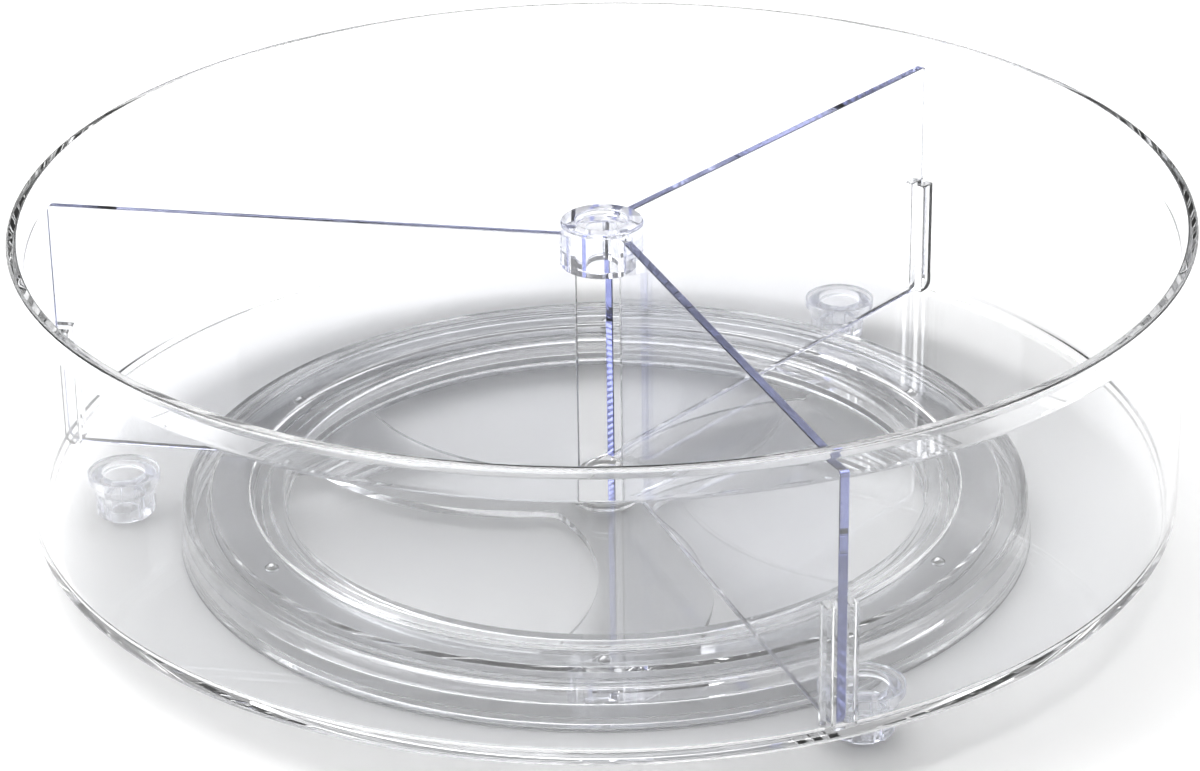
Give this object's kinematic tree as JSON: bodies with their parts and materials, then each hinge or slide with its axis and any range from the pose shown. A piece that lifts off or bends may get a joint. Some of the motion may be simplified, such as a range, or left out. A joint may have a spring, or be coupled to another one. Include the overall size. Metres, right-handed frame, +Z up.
{
  "type": "divided turntable organiser",
  "caption": "Clear round turntable tray with upright wall, lift-out divider panels, a hub cap, and a low ball-bearing base that it spins on.",
  "frame": {"origin": "on the table, under the spin axis", "axes": "+Z up along the spin axis; -Y faces the viewer, +X to the viewer's right"},
  "size_m": [0.3, 0.3, 0.09],
  "materials": {
    "clear_plastic": "clear, polished",
    "cage_plastic": "smoke grey, translucent",
    "bearing_steel": "polished",
    "washer_steel": "satin",
    "washer_nylon": "natural nylon",
    "soft_ring": "clear soft plastic"
  },
  "bodies": {
    "base": {"base_ring": "clear_plastic", "spoke_plate": "clear_plastic", "non_slip_ring": "soft_ring", "pivot_pin": "clear_plastic", "thrust_washer": "washer_nylon", "retaining_washer": "washer_steel"},
    "bearing": {"ball_cage": "cage_plastic", "ball_1": "bearing_steel", "ball_2": "bearing_steel", "ball_3": "bearing_steel", "ball_4": "bearing_steel", "ball_5": "bearing_steel", "ball_6": "bearing_steel"},
    "tray": {"tray": "clear_plastic", "tray_foot_1": "clear_plastic", "tray_foot_2": "clear_plastic", "tray_foot_3": "clear_plastic"},
    "dividers": {"divider_panel_1": "clear_plastic", "divider_panel_2": "clear_plastic", "divider_panel_3": "clear_plastic"},
    "cap": {"hub_cap": "clear_plastic"}
  },
  "joints": [
    {"name": "tray_spin", "type": "hinge", "parent": "base", "child": "tray", "pos_m": [0, 0, 0.0132], "axis": [0, 0, 1], "continuous": true},
    {"name": "bearing_spin", "type": "hinge", "parent": "base", "child": "bearing", "pos_m": [0, 0, 0.0096], "axis": [0, 0, 1], "continuous": true},
    {"name": "divider_lift", "type": "slide", "parent": "tray", "child": "dividers", "axis": [0, 0, 1], "range_m": [0, 0.08]},
    {"name": "cap_lift", "type": "slide", "parent": "dividers", "child": "cap", "axis": [0, 0, 1], "range_m": [0, 0.03]}
  ],
  "couplings": [
    {"joint": "bearing_spin", "follows": "tray_spin", "ratio": 0.5}
  ]
}
